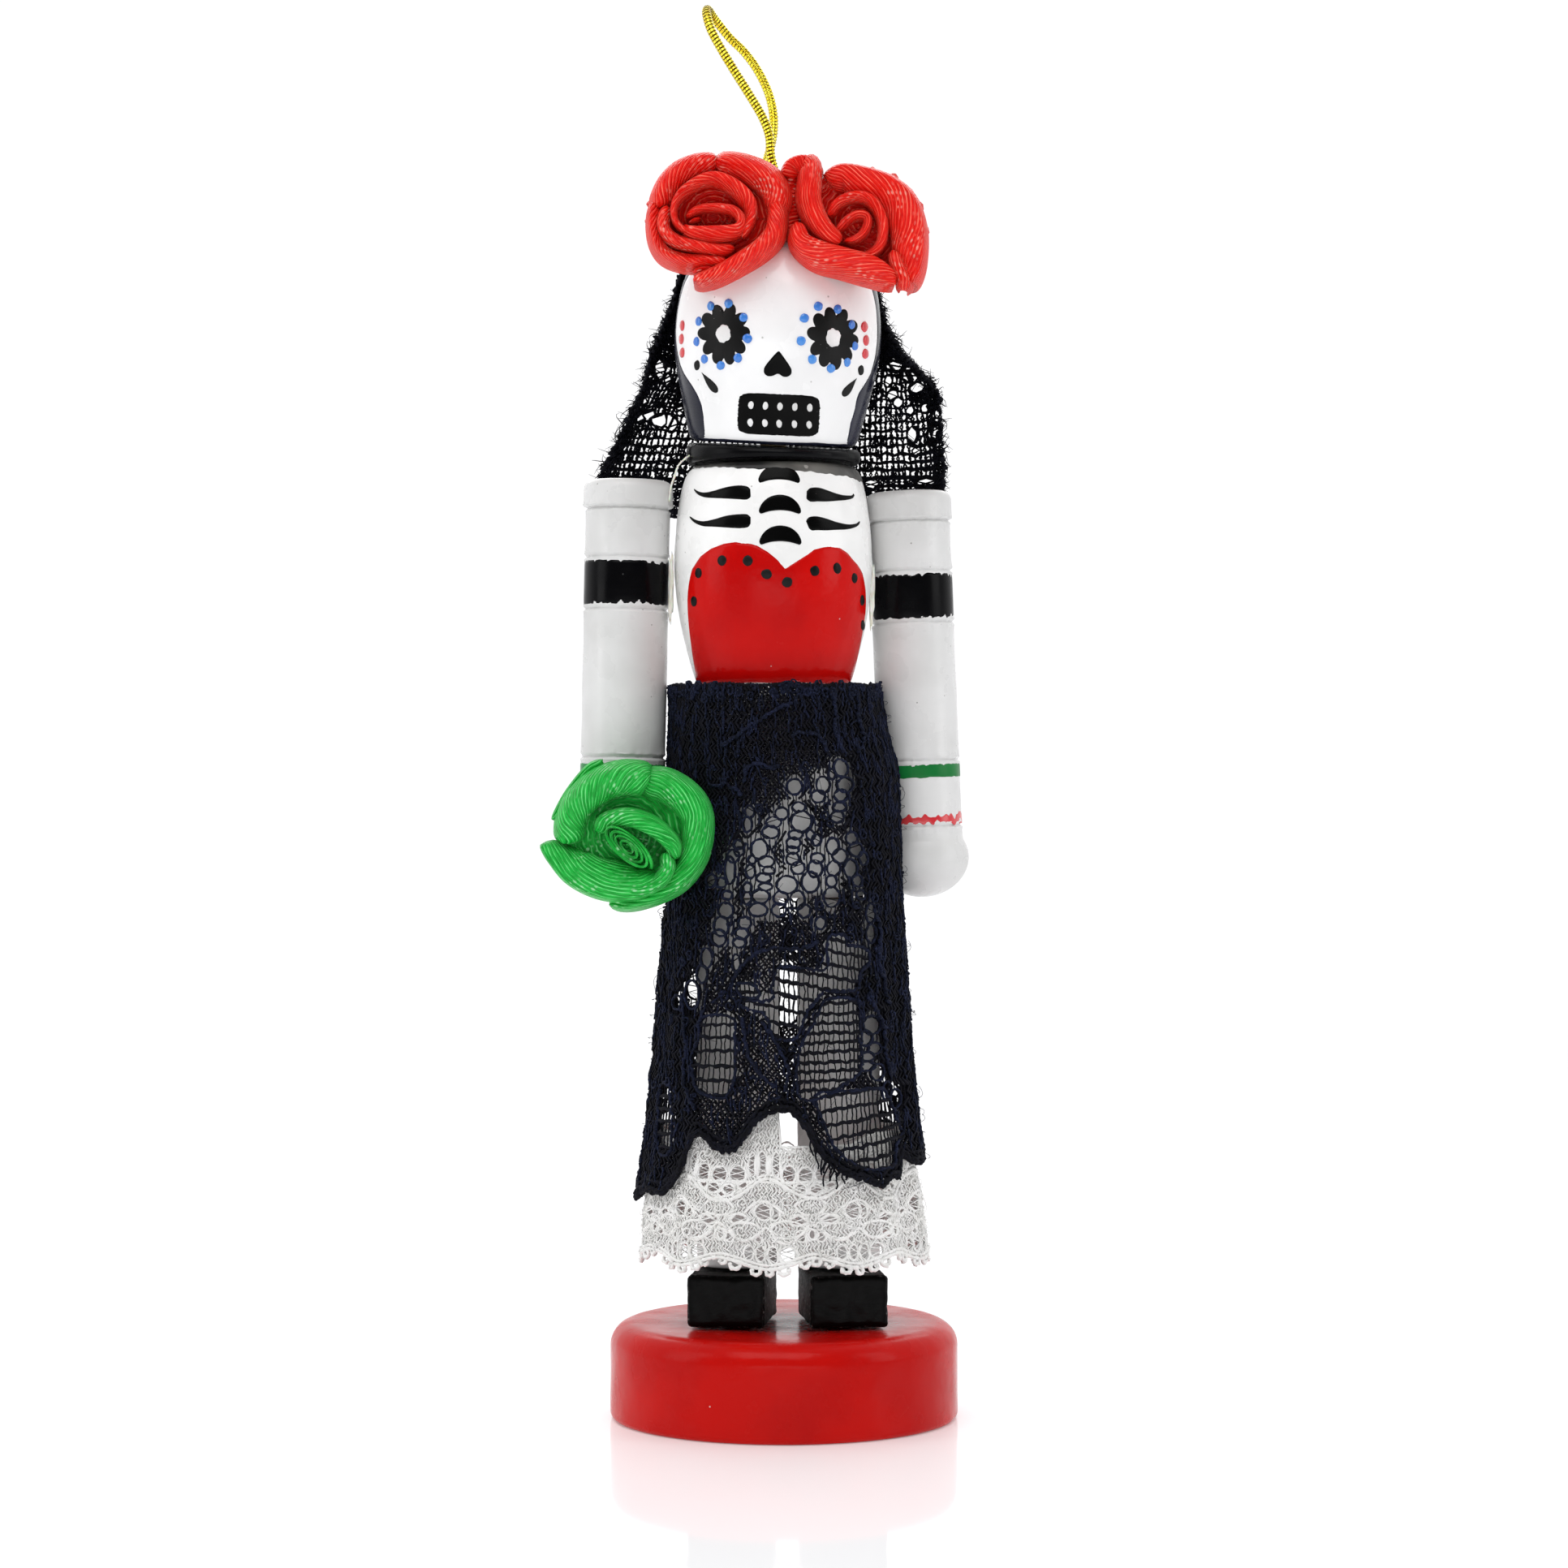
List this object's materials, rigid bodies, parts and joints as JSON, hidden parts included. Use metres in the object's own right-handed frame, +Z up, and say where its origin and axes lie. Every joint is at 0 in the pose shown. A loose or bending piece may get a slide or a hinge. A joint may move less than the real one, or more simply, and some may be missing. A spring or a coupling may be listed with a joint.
{
  "type": "catrina figure ornament",
  "caption": "Turned and painted wooden skeleton lady standing on a round base, with lace skirt, petticoat and veil, ribbon roses and a hanging loop.",
  "frame": {"origin": "centre of the round base's flat underside", "axes": "+Z up along the figure, -Y the way the face looks, +X to the viewer's right when seen from the front"},
  "size_m": [0.0495, 0.04, 0.1627],
  "materials": {
    "red_paint": "semi-gloss red paint on turned wood",
    "white_paint": "semi-gloss white paint on turned wood",
    "black_paint": "gloss black paint on wood",
    "bare_wood": "unfinished",
    "glue": "hardened yellowish glue",
    "black_lace": "matte blue-black lace",
    "white_lace": "matte white lace",
    "red_ribbon": "satin",
    "green_ribbon": "satin",
    "gold_cord": "metallic gold wrapped cord"
  },
  "bodies": {
    "root": {"base_disc": "red_paint", "shoe_left": "black_paint", "shoe_right": "black_paint", "leg_left": "white_paint", "leg_right": "white_paint", "hip_block": "white_paint", "torso": "white_paint", "head": "white_paint", "neck_collar": "black_paint", "arm_left": "white_paint", "arm_right": "white_paint", "foot_dowel_left": "bare_wood", "foot_dowel_right": "bare_wood", "hip_dowel_left": "bare_wood", "hip_dowel_right": "bare_wood", "waist_dowel": "bare_wood", "neck_dowel": "bare_wood", "glue_bead_left": "glue", "glue_bead_right": "glue", "skirt_lace": "black_lace", "veil_lace": "black_lace", "petticoat_lace": "white_lace", "rose_red_left": "red_ribbon", "rose_red_right": "red_ribbon", "rose_green": "green_ribbon", "hanger_cord": "gold_cord", "hanger_knot": "gold_cord"}
  },
  "joints": []
}
